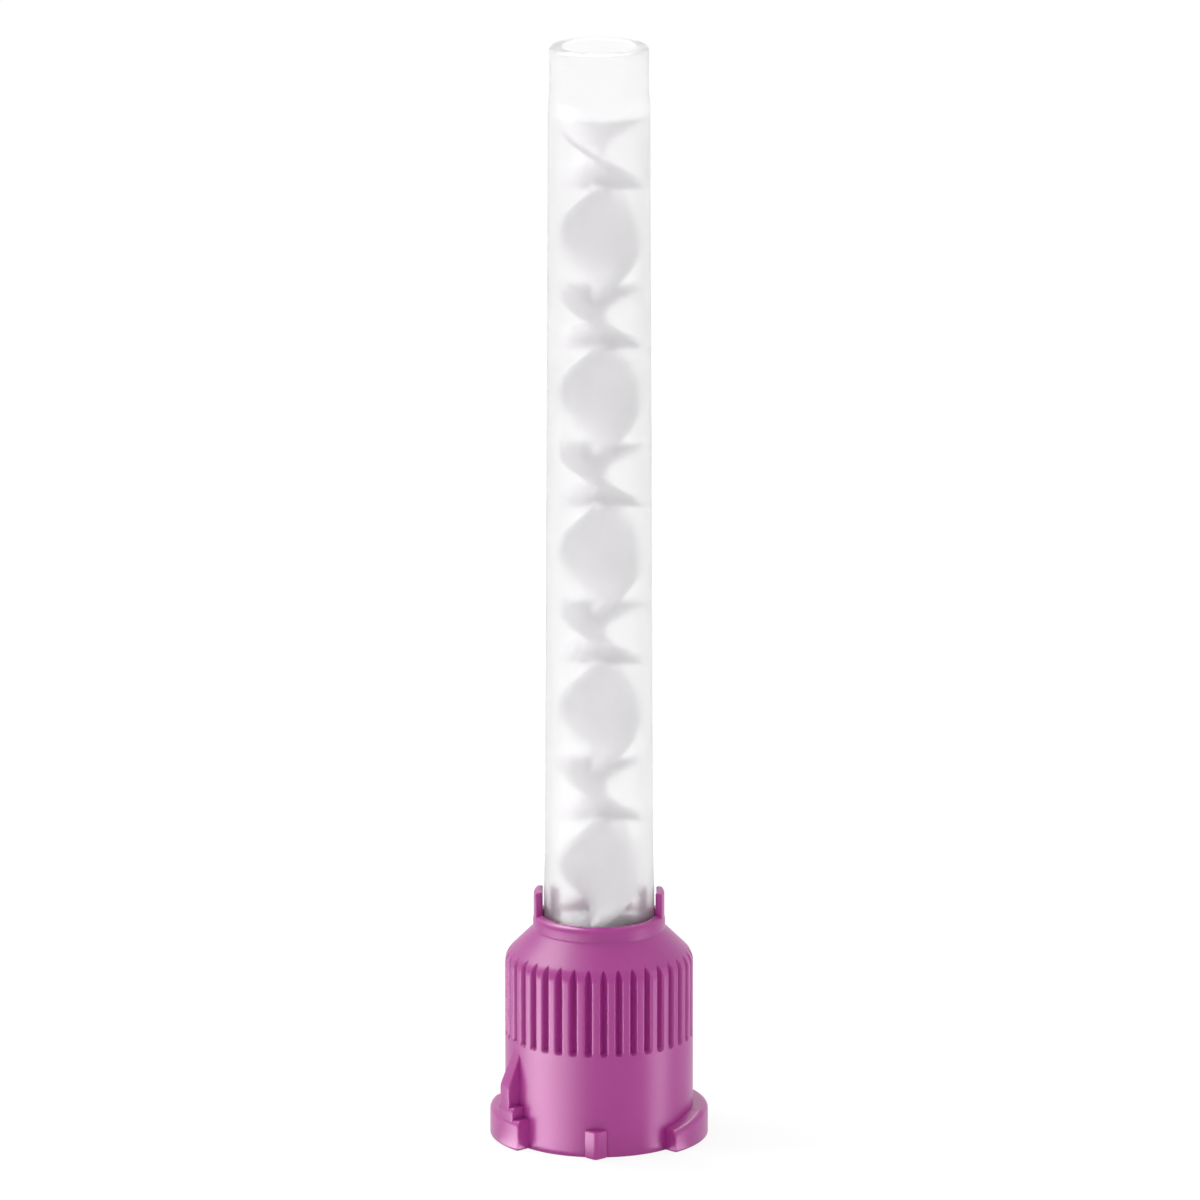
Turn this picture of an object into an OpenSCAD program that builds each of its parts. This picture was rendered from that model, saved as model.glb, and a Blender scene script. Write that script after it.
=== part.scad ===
// Bayonet static mixer: a turning coupling cap on a tapered housing with a helical mixing element.
// Origin on the axis in the plane of the cap's base ring, +Z towards the outlet, front towards -Y.

/* [Coupling cap] */
// Outside diameter of the skirt
cap_d = 15.24; // [15:0.02:16]
// Wall of the skirt below the ribs
cap_wall = 1.3; // [1.1:0.05:1.4]
// Height of the top of the shoulder cone
cone_top_z = 17.3; // [16.8:0.1:18.3]
// Slope of the shoulder cone, from the axis
cone_angle = 45.3; // [43:0.1:48]
// Rounding between the cone and the skirt
shoulder_r = 1.55; // [1:0.05:2.2]
// Outside diameter of the collar round the tube
collar_d = 10.7; // [10.6:0.05:11.2]
// Height of the collar above the cone
collar_h = 1.2; // [0.8:0.1:1.4]
// Rounding of the collar's top edge
collar_round = 0.4; // [0.2:0.05:0.45]
// Open gap between the collar and the tube
collar_gap = 0.2; // [0.15:0.05:0.25]
// Height of the two side lips above the cone
lip_h = 3.1; // [2:0.1:3.4]
// Turn that each lip covers
lip_span = 28; // [22:1:40]
// Rounding of the lips' top edge
lip_round = 0.25; // [0.1:0.05:0.25]
// Setback of the lips' faces from the collar's faces
lip_in = 0.06; // [0.04:0.01:0.08]

/* [Grip ribs] */
// Number of ribs round the skirt
rib_count = 38; // [30:2:38]
// Width of a rib
rib_w = 0.66; // [0.6:0.02:0.7]
// Width of the flat on a rib's crest
rib_land = 0.28; // [0.2:0.02:0.32]
// Radius of the rounding on a rib's crest
rib_round = 0.4; // [0.38:0.01:0.44]
// Depth of the grooves between the ribs
groove_depth = 0.55; // [0.4:0.05:0.55]
// Height where the grooves begin
groove_low_z = 8.38; // [8.3:0.02:10]
// Rise of the sloped lower end of the grooves
groove_rise = 0.3; // [0.2:0.05:0.5]

/* [Bayonet] */
// Reach of the two lugs beyond the skirt
lug_out = 1.23; // [0.9:0.01:1.4]
// Height of the lugs
lug_h = 2.5; // [2.2:0.05:2.6]
// Turn that each lug covers
lug_span = 87; // [76:1:90]
// Rounding of the lugs' top edge
lug_round = 0.45; // [0.1:0.05:0.5]
// Height of a lug at its leading end
ramp_low_h = 1.75; // [1.4:0.05:2]
// Length of the ramp along a lug
ramp_l = 4; // [3:0.1:5]
// Height of the stop step on the keyed lug
stop_z = 3.44; // [3.2:0.02:3.8]
// Setback of the stop step's face from the lug's face
stop_in = 0.06; // [0.04:0.01:0.08]
// Turn from the lug's end to the stop step
stop_from = 5; // [4:0.5:8]
// Turn that the stop step covers
stop_span = 16; // [15:0.5:19]
// Turn from the lug's end to the gusset
gusset_from = 9; // [8.5:0.5:11]
// Turn that the gusset covers
gusset_span = 9.5; // [7:0.5:9.5]
// Setback of the gusset's face from the lug's face
gusset_in = 0.12; // [0.1:0.02:0.2]
// Height where the gusset starts to lean back
gusset_low_z = 5; // [4.6:0.02:6]
// Height where the gusset meets the skirt
gusset_top_z = 7.73; // [7.2:0.01:7.8]
// Width of the key rib on the front
key_w = 1.8; // [1.4:0.1:2.2]
// Height of the key rib
key_h = 2.34; // [2:0.02:3]
// Reach of the key rib's ridge beyond the skirt
key_out = 0.88; // [0.7:0.02:0.94]
// Reach of the key rib's sides beyond the skirt
key_side = 0.15; // [0.1:0.05:0.3]
// Rounding of the key rib's ridge
key_round = 0.3; // [0.15:0.05:0.35]

/* [Turning fit] */
// Radial clearance of the housing's bell in the cap
turn_gap = 0.08; // [0.04:0.01:0.1]
// Depth of the bearing face below the cone's top
seat_depth = 1.3; // [1.2:0.05:1.4]
// Width of the bearing face
seat_w = 0.5; // [0.4:0.05:0.6]
// Height of the bell's rim under the bearing face
seat_rim = 0.5; // [0.45:0.05:0.7]
// Height of the snap bead's top, where the bell ends
bead_z = 3; // [2.6:0.1:3.4]
// Height of the snap bead's straight part
bead_h = 0.7; // [0.5:0.1:0.9]
// Reach of the snap bead into the skirt
bead_in = 0.36; // [0.25:0.01:0.4]

/* [Mixer housing] */
// Diameter of the tube's foot in the collar
foot_d = 8.92; // [8.9:0.02:9.2]
// Height where the foot starts to taper
foot_z = 20.6; // [19:0.1:21.5]
// Height where the long taper starts
taper_z = 23.6; // [22:0.1:26]
// Diameter where the long taper starts
tube_low_d = 8.74; // [8.5:0.02:8.88]
// Diameter where the long taper ends
tube_top_d = 8.17; // [8.1:0.01:8.4]
// Diameter of the outlet spigot
spigot_d = 7.96; // [7.7:0.02:8.06]
// Length of the spigot, rim included
spigot_l = 3.8; // [3.2:0.1:4]
// Length of the step from the tube to the spigot
step_l = 1; // [0.6:0.1:1.2]
// Rounding of the rim
rim_round = 0.36; // [0.1:0.02:0.4]
// Diameter of the outlet's mouth
mouth_d = 5.9; // [5.8:0.02:6.2]
// Depth of the outlet's mouth
mouth_l = 1.1; // [0.6:0.1:1.4]
// Diameter of the outlet bore
outlet_d = 5.4; // [5.1:0.02:5.5]
// Distance from the mixing element to the rim
outlet_l = 5.49; // [5.2:0.01:6]
// Length of the narrowing before the outlet bore
outlet_cone_l = 0.9; // [0.6:0.1:1.2]
// Width of the ledge that stops the blades
blade_stop_w = 0.2; // [0.1:0.02:0.24]
// Wall of the bell
bell_wall = 0.94; // [0.8:0.02:1]
// Width of the ledge that stops the inlet disc
ledge_w = 0.4; // [0.3:0.05:0.5]

/* [Mixing element] */
// Number of twisted blades
blade_count = 11; // [7:2:13]
// Mean length of a blade along the axis
blade_l = 6.51; // [6:0.01:7]
// How far every second blade reaches into the length of each neighbour
blade_reach = 0.88; // [0:0.02:1]
// Width of a blade
blade_w = 6.5; // [6.2:0.05:6.6]
// Thickness of a blade
blade_t = 1; // [0.7:0.05:1.2]
// Turn of a blade from end to end
blade_turn = 180; // [150:5:180]
// Overlap where two blades cross
blade_join = 0.2; // [0.1:0.05:0.3]
// Radial clearance of the blades in the tube
blade_gap = 0.06; // [0.04:0.01:0.1]
// Height of the top of the inlet disc
disc_z = 12.7; // [12.2:0.1:12.8]
// Thickness of the inlet disc
disc_h = 2.4; // [1.8:0.1:3]
// Radial clearance of the pressed inlet disc
press_gap = 0.02; // [0.01:0.01:0.04]
// Outside diameter of an inlet tube
inlet_d = 3.8; // [3.5:0.05:3.9]
// Bore of an inlet tube
inlet_bore_d = 2.6; // [2.2:0.1:2.8]
// Distance between the two inlet tubes
inlet_gap = 1.1; // [1.05:0.05:1.3]
// Height of the inlet tubes' ends above the base
inlet_z = 2; // [1:0.1:3]

/* [Hidden] */
$fn = 96;
overlap = 0.3;
cap_r = cap_d / 2;
skirt_bore_r = cap_r - cap_wall;
collar_r = collar_d / 2;
collar_bore_r = foot_d / 2 + collar_gap;
lug_r = cap_r + lug_out;
floor_r = cap_r - groove_depth;
crest_x = cap_r - sqrt(pow(rib_round, 2) - pow(rib_land / 2, 2));
seat_z = cone_top_z - seat_depth;
seat_r = collar_bore_r + seat_w;
bell_r = skirt_bore_r - turn_gap;
bell_bore_r = bell_r - bell_wall;
mix_r = norm([blade_w / 2, blade_t / 2]) + blade_gap;
blades_z = disc_z + blade_count * blade_l + blade_join;
rim_z = blades_z + outlet_l;
shoulder_z = cone_top_z - (cap_r - collar_r) / tan(cone_angle);
shoulder_cut = shoulder_r * tan(cone_angle / 2);
inlet_x = (inlet_d + inlet_gap) / 2;
gusset_slope = (gusset_top_z - gusset_low_z) / (lug_out - gusset_in);

// A right-angled profile from r0 to r1 and z0 to z1 whose outer top corner is rounded
module rounded_step(r0, r1, z0, z1, round_r) {
    polygon([[r0, z0], [r1, z0], [r1, z1 - round_r], [r1 - round_r, z1], [r0, z1]]);
    translate([r1 - round_r, z1 - round_r])
        intersection() {
            circle(round_r, $fn = 32);
            square(round_r);
        }
}

// The skirt, cone and collar as a solid outline
module cap_outline() {
    polygon([
        [0, 0],
        [cap_r, 0],
        [cap_r, shoulder_z - shoulder_cut],
        [cap_r - shoulder_cut * sin(cone_angle), shoulder_z + shoulder_cut * cos(cone_angle)],
        [collar_r, cone_top_z],
        [0, cone_top_z]
    ]);
    translate([cap_r - shoulder_r, shoulder_z - shoulder_cut])
        circle(shoulder_r);
    rounded_step(0, collar_r, cone_top_z - overlap, cone_top_z + collar_h, collar_round);
}

// The room inside the cap, without the snap bead
module cap_room() {
    polygon([
        [-1, -1],
        [skirt_bore_r, -1],
        [skirt_bore_r, seat_z - (skirt_bore_r - seat_r) / tan(cone_angle)],
        [seat_r, seat_z],
        [collar_bore_r, seat_z],
        [collar_bore_r, cone_top_z + collar_h + 1],
        [-1, cone_top_z + collar_h + 1]
    ]);
}

// The bead that holds the bell up against its bearing face
module snap_bead() {
    polygon([
        [skirt_bore_r + overlap, bead_z - bead_h - 2 * bead_in],
        [skirt_bore_r, bead_z - bead_h - 2 * bead_in],
        [skirt_bore_r - bead_in, bead_z - bead_h],
        [skirt_bore_r - bead_in, bead_z],
        [skirt_bore_r + overlap, bead_z]
    ]);
}

// The band that is sunk into the skirt, with its sloped lower end
module sunk_band() {
    rotate_extrude()
        polygon([
            [floor_r, groove_low_z + groove_rise],
            [floor_r + 2 * groove_depth, groove_low_z - groove_rise],
            [floor_r + 2 * groove_depth, cone_top_z],
            [floor_r, cone_top_z]
        ]);
}

// One upright rib with a rounded crest, longer than the band
module rib() {
    translate([0, 0, groove_low_z - 2 * groove_rise])
        intersection() {
            translate([floor_r - overlap, -rib_w / 2, 0])
                cube([groove_depth + 2 * overlap, rib_w, cone_top_z]);
            translate([crest_x, 0, -1])
                cylinder(h = cone_top_z + 2, r = rib_round, $fn = 48);
        }
}

// One lip of the collar, centred on +X
module lip() {
    rotate([0, 0, -lip_span / 2])
        rotate_extrude(angle = lip_span)
            rounded_step(
                collar_bore_r + lip_in,
                collar_r - lip_in,
                cone_top_z - overlap,
                cone_top_z + lip_h,
                lip_round
            );
}

// One lug centred on +X whose front end is its low leading end
module lug() {
    difference() {
        rotate([0, 0, -lug_span / 2])
            rotate_extrude(angle = lug_span)
                rounded_step(cap_r - overlap, lug_r, 0, lug_h, lug_round);
        translate([0, -lug_r * sin(lug_span / 2), ramp_low_h])
            rotate([atan((lug_h - ramp_low_h) / ramp_l), 0, 0])
                translate([0, -lug_out, 0])
                    cube([lug_r + lug_out, 2 * lug_out + ramp_l, lug_h]);
    }
}

// The stop step and its gusset at the front end of the keyed lug
module keyed_stop() {
    rotate([0, 0, 180 + lug_span / 2 - stop_from - stop_span])
        rotate_extrude(angle = stop_span)
            rounded_step(cap_r - overlap, lug_r - stop_in, lug_h / 2, stop_z, lug_round);
    rotate([0, 0, 180 + lug_span / 2 - gusset_from - gusset_span])
        rotate_extrude(angle = gusset_span)
            polygon([
                [cap_r - overlap, lug_h / 2],
                [lug_r - gusset_in, lug_h / 2],
                [lug_r - gusset_in, gusset_low_z],
                [cap_r - overlap, gusset_top_z + overlap * gusset_slope]
            ]);
}

// The ridged key rib on the front of the base
module key_rib() {
    linear_extrude(height = key_h)
        union() {
            polygon([
                [-key_w / 2, -cap_r + overlap],
                [-key_w / 2, -cap_r - key_side],
                [-key_round, -cap_r - key_out + key_round],
                [key_round, -cap_r - key_out + key_round],
                [key_w / 2, -cap_r - key_side],
                [key_w / 2, -cap_r + overlap]
            ]);
            translate([0, -cap_r - key_out + key_round])
                circle(key_round, $fn = 32);
        }
}

// The turning cap: ribbed skirt, cone, collar with two lips, bayonet lugs and key
module coupling_cap() {
    color([0.78, 0.36, 0.62]) {
        difference() {
            rotate_extrude()
                union() {
                    difference() {
                        cap_outline();
                        cap_room();
                    }
                    snap_bead();
                }
            difference() {
                sunk_band();
                for (i = [0 : rib_count - 1])
                    rotate([0, 0, (i + 0.5) * 360 / rib_count])
                        rib();
            }
        }
        for (turn = [0, 180])
            rotate([0, 0, turn]) {
                lip();
                lug();
            }
        keyed_stop();
        key_rib();
    }
}

// The tapered tube with its bell inside the cap and its stepped outlet
module mixer_housing() {
    color([0.92, 0.92, 0.94, 0.6])
        rotate_extrude()
            difference() {
                union() {
                    polygon([
                        [0, bead_z],
                        [bell_r, bead_z],
                        [bell_r, seat_z - seat_rim - (bell_r - seat_r) / tan(cone_angle)],
                        [seat_r, seat_z - seat_rim],
                        [seat_r, seat_z],
                        [foot_d / 2, seat_z],
                        [foot_d / 2, foot_z],
                        [tube_low_d / 2, taper_z],
                        [tube_top_d / 2, rim_z - spigot_l - step_l],
                        [spigot_d / 2, rim_z - spigot_l],
                        [0, rim_z - spigot_l]
                    ]);
                    rounded_step(0, spigot_d / 2, rim_z - spigot_l, rim_z, rim_round);
                }
                polygon([
                    [-1, bead_z - 1],
                    [bell_bore_r, bead_z - 1],
                    [bell_bore_r, disc_z],
                    [bell_bore_r - ledge_w, disc_z],
                    [mix_r, disc_z + (bell_bore_r - ledge_w - mix_r) / tan(cone_angle)],
                    [mix_r, blades_z],
                    [mix_r - blade_stop_w, blades_z],
                    [outlet_d / 2, blades_z + outlet_cone_l],
                    [outlet_d / 2, rim_z - mouth_l],
                    [mouth_d / 2, rim_z - mouth_l],
                    [mouth_d / 2, rim_z + 1],
                    [-1, rim_z + 1]
                ]);
            }
}

// Height of the foot of blade i over the inlet disc, and of the top of the last blade
function blade_foot(i) =
    i == 0 || i == blade_count ? i * blade_l : i * blade_l + (i % 2 == 0 ? blade_reach : -blade_reach);

// One twisted blade standing on z = 0, turning one way or the other
module blade(way, length) {
    linear_extrude(height = length + 2 * blade_join, twist = way * blade_turn, slices = 24, $fn = 8)
        square([blade_w, blade_t], center = true);
}

// The moulded insert: inlet disc with two tubes, and blades that cross and turn by turns
module mixing_element() {
    color([0.95, 0.95, 0.93]) {
        difference() {
            union() {
                translate([0, 0, disc_z - disc_h])
                    cylinder(h = disc_h, r = bell_bore_r - press_gap);
                for (side = [-1, 1])
                    translate([side * inlet_x, 0, inlet_z])
                        cylinder(h = disc_z - disc_h / 2 - inlet_z, d = inlet_d, $fn = 48);
            }
            for (side = [-1, 1])
                translate([side * inlet_x, 0, inlet_z - 1])
                    cylinder(h = disc_z - inlet_z + 2, d = inlet_bore_d, $fn = 48);
        }
        for (i = [0 : blade_count - 1])
            translate([0, 0, disc_z + blade_foot(i) - blade_join])
                rotate([0, 0, (i % 2) * (90 - blade_turn)])
                    blade(i % 2 == 0 ? 1 : -1, blade_foot(i + 1) - blade_foot(i));
    }
}

coupling_cap();
mixer_housing();
mixing_element();
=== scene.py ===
"""Looks of a bayonet static mixer: a ribbed turning cap, a frosted tube and a helical insert.

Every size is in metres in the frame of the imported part: the axis is Z, the base ring stands on
z = 0 and the front with the key rib looks towards -Y.
"""

from __future__ import annotations

import logging
import math
from collections.abc import Sequence
from dataclasses import dataclass
from enum import IntEnum

import bmesh
import bpy
from mathutils import Matrix, Vector


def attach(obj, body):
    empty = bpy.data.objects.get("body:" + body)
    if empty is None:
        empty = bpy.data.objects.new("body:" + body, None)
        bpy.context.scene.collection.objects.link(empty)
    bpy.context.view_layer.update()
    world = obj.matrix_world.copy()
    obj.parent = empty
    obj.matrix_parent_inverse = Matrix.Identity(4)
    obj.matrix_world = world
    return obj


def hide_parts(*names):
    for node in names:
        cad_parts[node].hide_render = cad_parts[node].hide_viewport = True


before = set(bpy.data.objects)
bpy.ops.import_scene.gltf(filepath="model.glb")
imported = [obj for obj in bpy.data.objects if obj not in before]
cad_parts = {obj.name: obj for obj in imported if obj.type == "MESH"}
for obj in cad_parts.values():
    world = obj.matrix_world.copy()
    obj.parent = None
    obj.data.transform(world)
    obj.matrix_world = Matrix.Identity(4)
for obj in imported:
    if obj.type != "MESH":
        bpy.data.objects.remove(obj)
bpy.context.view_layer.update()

MM = 0.001
MERGE_DIST = 1e-4 * MM
BEVEL_ANGLE = math.radians(40)
LOG = logging.getLogger("static_mixer")

Solid = bpy.types.Object
Finish = bpy.types.Material
Tree = bpy.types.NodeTree
Socket = bpy.types.NodeSocket
Colour = tuple[float, float, float, float]
WHITE: Colour = (1.0, 1.0, 1.0, 1.0)


class Twist(IntEnum):
    """The way in which a blade turns from its foot to its top."""

    LEFT = -1
    RIGHT = 1


@dataclass(frozen=True)
class Corner:
    """A corner of a turned outline.

    Attributes:
        r: Distance from the axis.
        z: Height.
        rounding: Radius that rounds the corner, or 0 for a sharp one.
    """

    r: float
    z: float
    rounding: float = 0.0


def outline(corners: Sequence[Corner], steps: int = 6) -> list[Vector]:
    """Trace a closed outline with its rounded corners as arcs.

    Args:
        corners: The corners in order round the outline.
        steps: Number of straight steps in each arc.

    Returns:
        Points with x as the distance from the axis and y as the height.
    """
    points: list[Vector] = []
    for before, corner, after in zip((corners[-1], *corners), corners, (*corners[1:], corners[0])):
        tip = Vector((corner.r, corner.z))
        if corner.rounding == 0.0:
            points.append(tip)
            continue
        back = (Vector((before.r, before.z)) - tip).normalized()
        ahead = (Vector((after.r, after.z)) - tip).normalized()
        half = back.angle(ahead) / 2
        centre = tip + (back + ahead).normalized() * corner.rounding / math.sin(half)
        start = tip + back * corner.rounding / math.tan(half) - centre
        end = tip + ahead * corner.rounding / math.tan(half) - centre
        turn = start.angle_signed(end)
        for step in range(steps + 1):
            points.append(centre + Matrix.Rotation(-turn * step / steps, 2) @ start)
    return points


def levels(low: float, high: float, count: int) -> list[float]:
    """Return heights spaced evenly from low to high, both included."""
    return [low + (high - low) * step / (count - 1) for step in range(count)]


def mesh_object(name: str, bm: bmesh.types.BMesh) -> Solid:
    """Turn a bmesh into an object with its faces pointing outwards.

    Args:
        name: Name of the object and its mesh.
        bm: The shape, which is freed.

    Returns:
        The new object, linked to the scene.
    """
    bmesh.ops.remove_doubles(bm, verts=bm.verts, dist=MERGE_DIST)
    bmesh.ops.delete(bm, geom=[edge for edge in bm.edges if not edge.link_faces], context="EDGES")
    bmesh.ops.recalc_face_normals(bm, faces=bm.faces)
    mesh = bpy.data.meshes.new(name)
    bm.to_mesh(mesh)
    bm.free()
    piece = bpy.data.objects.new(name, mesh)
    bpy.context.scene.collection.objects.link(piece)
    return piece


def bridge(bm: bmesh.types.BMesh, rings: Sequence[Sequence[bmesh.types.BMVert]]) -> None:
    """Close the walls between neighbouring rings of points.

    Args:
        bm: The shape under construction.
        rings: Closed rings with the same number of points, in order.
    """
    for ring, following in zip(rings, rings[1:]):
        for a, b in zip(range(-1, len(ring) - 1), range(len(ring))):
            bm.faces.new((ring[a], ring[b], following[b], following[a]))


def turned(
    name: str,
    points: Sequence[Vector],
    segments: int,
    centre: Vector = Vector((0, 0)),
    phase: float = 0.0,
) -> Solid:
    """Turn a closed outline all the way round an upright axis.

    Args:
        name: Name of the new object.
        points: The outline, as outline() gives it.
        segments: Number of steps round the axis.
        centre: Where the axis stands.
        phase: Share of a step by which the first points are turned on.

    Returns:
        The turned solid.
    """
    bm = bmesh.new()
    rings = []
    for step in range(segments):
        angle = 2 * math.pi * (step + phase) / segments
        across, along = math.cos(angle), math.sin(angle)
        rings.append([
            bm.verts.new((centre.x + p.x * across, centre.y + p.x * along, p.y)) for p in points
        ])
    bridge(bm, (*rings, rings[0]))
    return mesh_object(name, bm)


def sector(name: str, points: Sequence[Vector], middle: float, span: float, segments: int) -> Solid:
    """Turn a closed outline through part of a turn and close both ends.

    Args:
        name: Name of the new object.
        points: The outline, as outline() gives it.
        middle: Direction of the sector's middle, in degrees from +X.
        span: Turn that the sector covers, in degrees.
        segments: Number of steps along the sector.

    Returns:
        The closed sector.
    """
    bm = bmesh.new()
    rings = []
    for angle in levels(middle - span / 2, middle + span / 2, segments + 1):
        across, along = math.cos(math.radians(angle)), math.sin(math.radians(angle))
        rings.append([bm.verts.new((p.x * across, p.x * along, p.y)) for p in points])
    bridge(bm, rings)
    bm.faces.new(rings[0])
    bm.faces.new(rings[-1])
    return mesh_object(name, bm)


def settled(piece: Solid) -> Solid:
    """Turn a piece with its modifiers into a plain mesh.

    Args:
        piece: The piece, whose modifiers are removed.

    Returns:
        The same piece, for chaining.
    """
    graph = bpy.context.evaluated_depsgraph_get()
    mesh = bpy.data.meshes.new_from_object(piece.evaluated_get(graph), depsgraph=graph)
    piece.modifiers.clear()
    piece.data = mesh
    return piece


def softened(piece: Solid, width: float, steps: int = 3) -> Solid:
    """Round the sharp edges of a piece.

    Args:
        piece: The piece to soften.
        width: Width of the rounding.
        steps: Number of faces across the rounding.

    Returns:
        The same piece, for chaining.
    """
    bevel = piece.modifiers.new("Edges", "BEVEL")
    bevel.width = width
    bevel.segments = steps
    bevel.limit_method = "ANGLE"
    bevel.angle_limit = BEVEL_ANGLE
    return settled(piece)


def combined(base: Solid, others: Sequence[Solid], operation: str) -> Solid:
    """Add other solids to a piece or cut them out of it.

    Args:
        base: The piece that is kept.
        others: The solids to use up.
        operation: Blender's name of the operation, UNION or DIFFERENCE.

    Returns:
        The base piece, for chaining.
    """
    for other in others:
        step = base.modifiers.new(other.name, "BOOLEAN")
        step.operation = operation
        step.solver = "EXACT"
        step.object = other
    settled(base)
    for other in others:
        bpy.data.objects.remove(other)
    return base


def shaded(piece: Solid, angle: float = 34.0) -> Solid:
    """Shade a piece smoothly but for its sharp edges, with its large faces kept flat.

    Args:
        piece: The piece to shade.
        angle: Edges sharper than this many degrees stay sharp.

    Returns:
        The same piece, for chaining.
    """
    bm = bmesh.new()
    bm.from_mesh(piece.data)
    bmesh.ops.remove_doubles(bm, verts=bm.verts, dist=MERGE_DIST)
    bmesh.ops.dissolve_degenerate(bm, edges=bm.edges, dist=MERGE_DIST)
    bm.to_mesh(piece.data)
    bm.free()
    piece.data.shade_smooth()
    piece.data.set_sharp_from_angle(angle=math.radians(angle))
    weighted = piece.modifiers.new("Flat faces", "WEIGHTED_NORMAL")
    weighted.keep_sharp = True
    return settled(piece)


@dataclass
class Wiring:
    """A node tree under construction."""

    tree: Tree

    def socket(self, name: str, kind: str, side: str = "INPUT", default: object = None) -> None:
        """Add a named socket to the tree's own interface.

        Args:
            name: Name of the socket.
            kind: Blender's name for the socket type.
            side: INPUT or OUTPUT.
            default: Value of an input that nothing sets.
        """
        item = self.tree.interface.new_socket(name, in_out=side, socket_type=kind)
        if default is not None:
            item.default_value = default

    def node(
        self, kind: str, feeds: dict[str | int, object] | None = None, **options: object
    ) -> bpy.types.Node:
        """Add a node.

        Args:
            kind: Blender's name for the node type.
            feeds: What each input gets, as another node's socket or as a plain value.
            options: The node's own settings.

        Returns:
            The new node.
        """
        node = self.tree.nodes.new(kind)
        for option, value in options.items():
            setattr(node, option, value)
        for key, value in (feeds or {}).items():
            if isinstance(value, Socket):
                self.tree.links.new(value, node.inputs[key])
            else:
                node.inputs[key].default_value = value
        return node

    def math(self, operation: str, *values: Socket | float) -> Socket:
        """Add a Math node and return its result."""
        return self.node("ShaderNodeMath", dict(enumerate(values)), operation=operation).outputs[0]

    def plus(self, first: Socket | float, second: Socket | float) -> Socket:
        """Return the sum of two values."""
        return self.math("ADD", first, second)

    def minus(self, first: Socket | float, second: Socket | float) -> Socket:
        """Return the first value less the second."""
        return self.math("SUBTRACT", first, second)

    def times(self, first: Socket | float, second: Socket | float) -> Socket:
        """Return the product of two values."""
        return self.math("MULTIPLY", first, second)

    def over(self, first: Socket | float, second: Socket | float) -> Socket:
        """Return the first value divided by the second."""
        return self.math("DIVIDE", first, second)


def emptied(owner: Finish | bpy.types.World) -> Wiring:
    """Turn on the nodes of a material or a world and clear them.

    Args:
        owner: What the nodes belong to.

    Returns:
        The wiring of its empty tree.
    """
    owner.use_nodes = True
    owner.node_tree.nodes.clear()
    return Wiring(owner.node_tree)


def geometry_tree(name: str, inputs: dict[str, str]) -> tuple[Wiring, dict[str, Socket]]:
    """Start a Geometry Nodes tree with a material input and a geometry output.

    Args:
        name: Name of the tree.
        inputs: Name and socket type of each input.

    Returns:
        The wiring, and each input's socket by its name.
    """
    wiring = Wiring(bpy.data.node_groups.new(name, "GeometryNodeTree"))
    for label, kind in inputs.items():
        wiring.socket(label, kind)
    wiring.socket("Material", "NodeSocketMaterial")
    wiring.socket("Geometry", "NodeSocketGeometry", "OUTPUT")
    entry = wiring.node("NodeGroupInput")
    return wiring, {label: entry.outputs[label] for label in (*inputs, "Material")}


def close_tree(wiring: Wiring, shape: Socket, material: Socket) -> None:
    """End a Geometry Nodes tree with real faces that carry the material.

    Args:
        wiring: The tree's wiring.
        shape: The geometry to end with.
        material: The material that it gets.
    """
    real = wiring.node("GeometryNodeRealizeInstances", {"Geometry": shape})
    finished = wiring.node("GeometryNodeSetMaterial", {
        "Geometry": real.outputs[0],
        "Material": material,
    })
    wiring.node("NodeGroupOutput", {"Geometry": finished.outputs[0]})


def grown(piece: Solid, tree: Tree, values: dict[str, object]) -> Solid:
    """Run a Geometry Nodes tree on a piece and keep its result as a plain mesh.

    Args:
        piece: The piece that carries the tree.
        tree: The tree to run.
        values: The value of each of the tree's inputs, by name.

    Returns:
        The same piece, for chaining.
    """
    modifier = piece.modifiers.new(tree.name, "NODES")
    modifier.node_group = tree
    for item in tree.interface.items_tree:
        if item.in_out == "INPUT" and item.name in values:
            modifier[item.identifier] = values[item.name]
    return settled(piece)


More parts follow.
